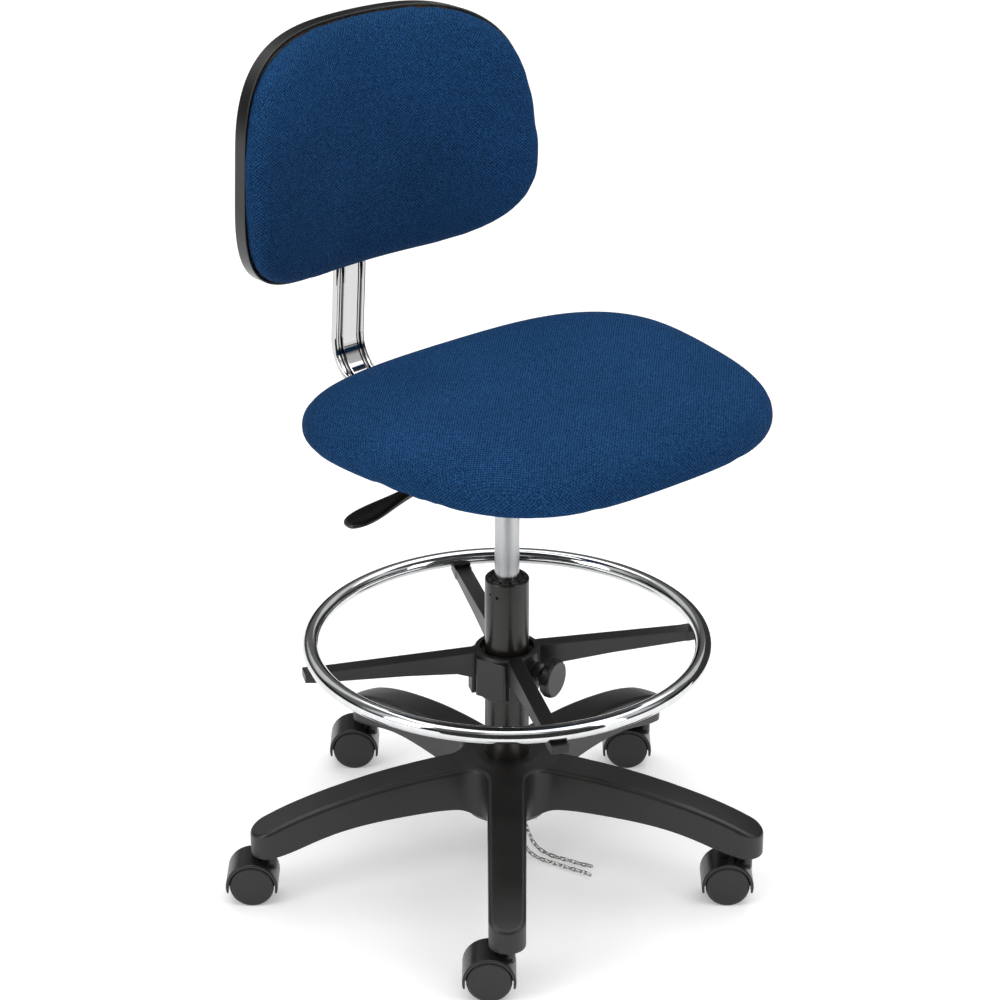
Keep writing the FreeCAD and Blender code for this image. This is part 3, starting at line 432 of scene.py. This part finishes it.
# colour, roughness, scale of the grain, radius of an edge, colour of a rubbed edge
MOULDED = {
    "black_nylon": ((0.0150, 0.0138, 0.0130), 0.38, 900.0, 0.0016, (0.055, 0.052, 0.050)),
    "caster_black": ((0.0095, 0.0095, 0.0097), 0.30, 700.0, 0.0012, (0.05, 0.05, 0.05)),
    "column_black": ((0.0130, 0.0112, 0.0092), 0.28, 420.0, 0.0010, (0.06, 0.055, 0.05)),
    "bush_plastic": ((0.0300, 0.0300, 0.0300), 0.45, 700.0, 0.0006, (0.09, 0.09, 0.09)),
    "frame_black": ((0.0110, 0.0105, 0.0100), 0.32, 520.0, 0.0009, (0.06, 0.057, 0.055)),
    "shell_plastic": ((0.0100, 0.0092, 0.0086), 0.30, 620.0, 0.0022, (0.05, 0.046, 0.043)),
    "grip_black": ((0.0120, 0.0104, 0.0098), 0.26, 900.0, 0.0004, (0.03, 0.03, 0.03)),
}

# colour, roughness and its unevenness, stretch and scale of the marks, radius of an edge, relief
PLATED = {
    "satin_steel": ((0.50, 0.51, 0.52), 0.24, 0.02, (1.0, 1.0, 0.02), 900.0, 0.0006, 0.00001),
    "chrome": ((0.72, 0.73, 0.74), 0.05, 0.015, (1.0, 1.0, 0.2), 90.0, 0.0006, 0.000012),
    "zinc_steel": ((0.62, 0.62, 0.61), 0.22, 0.06, (1.0, 1.0, 1.0), 240.0, 0.0004, 0.00004),
    "chain_steel": ((0.62, 0.62, 0.61), 0.10, 0.05, (1.0, 1.0, 1.0), 240.0, 0.0002, 0.00003),
}

MATERIALS = {name: moulded(name, *facts) for name, facts in MOULDED.items()}
MATERIALS.update((name, plated(name, *facts)) for name, facts in PLATED.items())
MATERIALS["ribbed_chrome"] = ribbed_chrome()
MATERIALS["plywood"] = plywood()
MATERIALS["blue_fabric"] = woven_blue()


def dress(piece, finish):
    """Give a piece one of the chair's finishes."""
    piece.data.materials.clear()
    piece.data.materials.append(MATERIALS[finish])


def dressed(piece, slot, body, finish=None):
    """Finish a new piece, with the finish named by slot unless one is given, and make it ride on its body.
    """
    dress(piece, finish or slot)
    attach(piece, body)


for part in frame["record"]["subparts"]:
    dress(nodes[part["node"]], part["material_slot"])
dress(nodes["back_upright"], "ribbed_chrome")


# ---------------------------------------------------------------- camera
def photographer():
    lens = bpy.data.cameras.new("camera")
    lens.lens = CAMERA_LENS
    lens.sensor_width = 36.0
    lens.clip_end = 60.0
    camera = new_object("camera", lens)
    camera.location = CAMERA_AT
    camera.rotation_mode = "QUATERNION"
    camera.rotation_quaternion = CAMERA_LOOK.to_track_quat("-Z", "Y")
    bpy.context.scene.camera = camera


photographer()


# ---------------------------------------------------------------- static-drain chains
def link_rings(centre, along, side):
    """Rings of vertices round one oval link's wire."""
    up = along.cross(side)
    bend = CHAIN_DIAMETER / 2 - LINK_WIRE
    straight = LINK_LENGTH / 2 - LINK_WIRE - bend
    rings = []
    for k in range(LINK_STEPS):
        a = 2 * math.pi * k / LINK_STEPS
        shift = straight if math.cos(a) > 0 else -straight
        outward = along * math.cos(a) + side * math.sin(a)
        middle = centre + along * shift + outward * bend
        rings.append([middle + (outward * math.cos(b) + up * math.sin(b)) * LINK_WIRE
                      for b in (2 * math.pi * j / WIRE_STEPS for j in range(WIRE_STEPS))])
    return rings


def chain(name, points, node):
    """Oval links hooked through each other along the route's smooth line."""
    line = Line(smooth_line(points, name + "_line"))
    pitch = LINK_LENGTH - 4 * LINK_WIRE
    count = round((line.length - 4 * LINK_WIRE) / pitch)
    pitch = (line.length - 4 * LINK_WIRE) / count
    vertices, faces = [], []
    side = LINK_SIDE
    for k in range(count):
        middle = 2 * LINK_WIRE + pitch * (k + 0.5)
        near = line.at(middle - pitch / 2)
        far = line.at(middle + pitch / 2)
        along = (far - near).normalized()
        side = (side - along * side.dot(along)).normalized()
        turned = Matrix.Rotation(math.radians(LINK_TILTS[k % 2]), 3, along) @ side
        faces.extend(band_faces(len(vertices), WIRE_STEPS, LINK_STEPS, closed=True))
        for ring in link_rings((near + far) / 2, along, turned):
            vertices.extend(ring)
    strand = mesh_piece(name, vertices, faces)
    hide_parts(node)
    dressed(strand, "zinc_steel", "base", "chain_steel")


chain("chain_strand_a", CHAIN_A, "ground_chain_a")
chain("chain_strand_b", CHAIN_B, "ground_chain_b")


# ---------------------------------------------------------------- lever grip
def lever_grip():
    """A spoon-shaped grip, dished on top, with a rounded rim."""
    vertices = []
    for x, z, half_width, half_thickness, dish in GRIP:
        for j in range(GRIP_STEPS):
            a = 2 * math.pi * j / GRIP_STEPS
            c, s = math.cos(a), math.sin(a)
            across = math.copysign(abs(c) ** GRIP_SQUARENESS, c)
            rise = math.copysign(abs(s) ** GRIP_SQUARENESS, s) * half_thickness
            if s > 0:
                rise -= dish * (1 - across ** 2) ** 2
            vertices.append((x, GRIP_Y + half_width * across, z + rise))
    faces = band_faces(0, GRIP_STEPS, len(GRIP))
    faces.append(tuple(range(GRIP_STEPS)))
    faces.append(tuple(reversed(range(len(vertices) - GRIP_STEPS, len(vertices)))))
    grip = subdivided(mesh_piece("lever_grip", vertices, faces), 2)
    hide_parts("lever_paddle")
    dressed(grip, "black_nylon", "release_lever", "grip_black")


lever_grip()


# ---------------------------------------------------------------- cushions
def evened(pushes, mesh, rounds):
    """Share each vertex's push with its neighbours, so that a cover swells without wrinkling."""
    push = np.array(pushes)
    ends = np.array([edge.vertices[:] for edge in mesh.edges])
    count = np.bincount(ends.ravel(), minlength=len(push))[:, None]
    for _ in range(rounds):
        total = np.zeros_like(push)
        np.add.at(total, ends[:, 0], push[ends[:, 1]])
        np.add.at(total, ends[:, 1], push[ends[:, 0]])
        push = (push + total / count) / 2
    return push


def swell(pad, free, cap):
    """Blow a pad up as cloth, and keep how far each point moved, evened out, capped and held.

    free(point) is 0 or less on the board, where the cover is held, and 1 or more where it can swell.
    """
    share = [min(max(free(v.co), 0.0), 1.0) for v in pad.data.vertices]
    group = pad.vertex_groups.new(name="held")
    group.add([k for k, loose in enumerate(share) if loose == 0.0], 1.0, "REPLACE")
    cloth = pad.modifiers.new("cloth", "CLOTH")
    cloth.settings.vertex_group_mass = "held"
    cloth.settings.use_pressure = True
    cloth.settings.uniform_pressure_force = CLOTH_PRESSURE
    cloth.settings.effector_weights.gravity = 0.0
    rest = [v.co.copy() for v in pad.data.vertices]
    for step in range(1, CLOTH_FRAMES + 1):
        bpy.context.scene.frame_set(step)
    applied(pad)
    moved = [v.co - start for v, start in zip(pad.data.vertices, rest)]
    pushes = evened(moved, pad.data, EVENING_ROUNDS)
    for vertex, start, push, loose in zip(pad.data.vertices, rest, pushes, share):
        reach = min(1.0, cap / max(Vector(push).length, NO_LENGTH))
        vertex.co = start + Vector(push) * reach * loose
    bpy.context.scene.frame_set(1)
    pad.vertex_groups.clear()


def inflated(name, node, shrink, softening, free, cap):
    """A cushion grown from its CAD shape: shrunk, remeshed, softened, blown up and subdivided."""
    low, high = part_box(node)
    middle = (low + high) / 2
    pad = new_object(name, nodes[node].data.copy())
    scale = Matrix.Diagonal((*shrink, 1.0))
    pad.data.transform(Matrix.Translation(middle) @ scale @ Matrix.Translation(-middle))
    remeshed(pad)
    softened(pad, softening)
    swell(pad, free, cap)
    subdivided(pad, 1)
    fit(pad, low, high)
    smooth_shaded(pad.data)
    return pad


def seat_cover():
    """The seat's pad, with its sides a little lifted and its front edge drawn down."""
    low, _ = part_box("seat_cushion")
    pad = inflated("seat_pad", "seat_cushion", SEAT_SHRINK, SEAT_SOFTENING,
                   lambda p: (p.z - low.z - SEAT_HELD) / SEAT_FREEING, SEAT_CAP)
    for vertex in pad.data.vertices:
        across = vertex.co.x / SEAT_HALF_WIDTH
        ahead = (SEAT_MIDDLE_Y - vertex.co.y) / SEAT_HALF_DEPTH
        drop = SEAT_FRONT_DROP if ahead > 0 else SEAT_REAR_DROP
        vertex.co.z += SEAT_SIDE_LIFT * across ** 2 - drop * ahead ** 2
    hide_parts("seat_cushion")
    dressed(pad, "blue_fabric", "seat")


def from_back_axis(point):
    """Distance from the leaning line that the backrest curves about."""
    return math.hypot(point.x, point.y + BACK_AXIS - (point.z - BACK_FOOT) * BACK_LEAN)


def back_cover():
    """The backrest's pad, filled out sideways at its waist."""
    pad = inflated("back_pad", "back_cushion", BACK_SHRINK, BACK_SOFTENING,
                   lambda p: (BACK_HELD - from_back_axis(p)) / BACK_FREEING, BACK_CAP)
    for vertex in pad.data.vertices:
        nearness = math.exp(-((vertex.co.z - BACK_WAIST) / BACK_WAIST_REACH) ** 2)
        vertex.co.x *= 1.0 + BACK_WAIST_FILL * nearness * (vertex.co.x / BACK_HALF_WIDTH) ** 2
    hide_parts("back_cushion")
    dressed(pad, "blue_fabric", "backrest")


seat_cover()
back_cover()


# ---------------------------------------------------------------- floor, world and lights
def floor():
    """A pale floor that glows a little, more so far from the chair."""
    h = FLOOR_HALF
    sheet = mesh_piece("floor", [(-h, -h, 0), (h, -h, 0), (h, h, 0), (-h, h, 0)], [(0, 1, 2, 3)])
    look = Look("pale_floor", Roughness=0.9, Specular_IOR_Level=0.1)
    look.set("Base Color", look.between(look.spread(look.noise(3.0), 0.0, 1.0), grey(0.86), grey(0.89)))
    look.set("Emission Color", grey(1.0))
    apart = look.vector("LENGTH", look.place)
    look.set("Emission Strength", look.spread(apart, 0.28, 0.72, 1.3, 6.0))
    sheet.data.materials.append(look.material)


def card(name, turn, distance, width, height):
    """An upright dark card that only mirror-like surfaces show."""
    a = math.radians(turn)
    middle = Vector((math.cos(a), math.sin(a), 0.0)) * distance
    side = Vector((-math.sin(a), math.cos(a), 0.0)) * width / 2
    up = Vector((0.0, 0.0, height))
    corners = [middle - side, middle + side, middle + side + up, middle - side + up]
    sheet = mesh_piece(name, corners, [(0, 1, 2, 3)])
    look = Look(name, Roughness=0.8)
    look.set("Base Color", look.between(look.noise(4.0), grey(0.015), grey(0.03)))
    sheet.data.materials.append(look.material)
    sheet.visible_camera = False
    sheet.visible_diffuse = False
    sheet.visible_shadow = False


def area_light(name, place, aim, width, height, power):
    data = bpy.data.lights.new(name, "AREA")
    data.shape = "RECTANGLE"
    data.size = width
    data.size_y = height
    data.energy = power
    light = new_object(name, data)
    light.location = place
    light.rotation_mode = "QUATERNION"
    light.rotation_quaternion = (Vector(aim) - Vector(place)).to_track_quat("-Z", "Y")


def surroundings():
    """A studio for the chrome to show: bright above, dark near the horizon, five panels round about.

    The camera itself sees plain near-white instead.
    """
    world = bpy.data.worlds.new("studio")
    world.use_nodes = True
    graph = Graph(world.node_tree)
    graph.tree.nodes.clear()
    direction = graph.split(graph.add("TexCoord").outputs["Generated"])
    ramp = graph.add("ValToRGB", {"Fac": direction["Z"]})
    bands = [(0.0, 0.26), (0.10, 0.07), (0.26, 0.10), (0.42, 0.72), (1.0, 0.95)]
    stops = ramp.color_ramp.elements
    while len(stops) < len(bands):
        stops.new(0.5)
    for stop, (height, level) in zip(stops, bands):
        stop.position = height
        stop.color = grey(level)
    turn = graph.math("ARCTAN2", direction["Y"], direction["X"])
    wave = graph.math("SINE", graph.math("MULTIPLY", turn, 5.0))
    panels = graph.scaled(ramp.outputs["Color"], graph.spread(wave, 0.22, 1.0, -0.35, 0.35))
    glow = graph.add("Background", {"Color": panels, "Strength": 0.9})
    plain = graph.add("Background", {"Color": grey(0.95), "Strength": 1.0})
    seen = graph.add("LightPath").outputs["Is Camera Ray"]
    either = graph.add("MixShader", {"Fac": seen, 1: glow.outputs[0], 2: plain.outputs[0]})
    graph.add("OutputWorld", {"Surface": either.outputs[0]})
    bpy.context.scene.world = world


floor()
surroundings()
card("card_near", turn=238.0, distance=1.0, width=1.70, height=0.75)
card("card_far", turn=8.0, distance=1.0, width=1.20, height=0.75)
area_light("overhead", (0.3, -0.2, 3.6), (0.1, 0.0, 0.0), width=5.0, height=5.0, power=130.0)
area_light("left_box", (-3.0, 0.3, 1.6), (0.0, 0.0, 0.4), width=1.2, height=2.2, power=30.0)
area_light("right_box", (0.9, -3.0, 1.5), (0.0, 0.0, 0.4), width=0.8, height=2.2, power=18.0)
bpy.context.scene.view_settings.view_transform = "Standard"
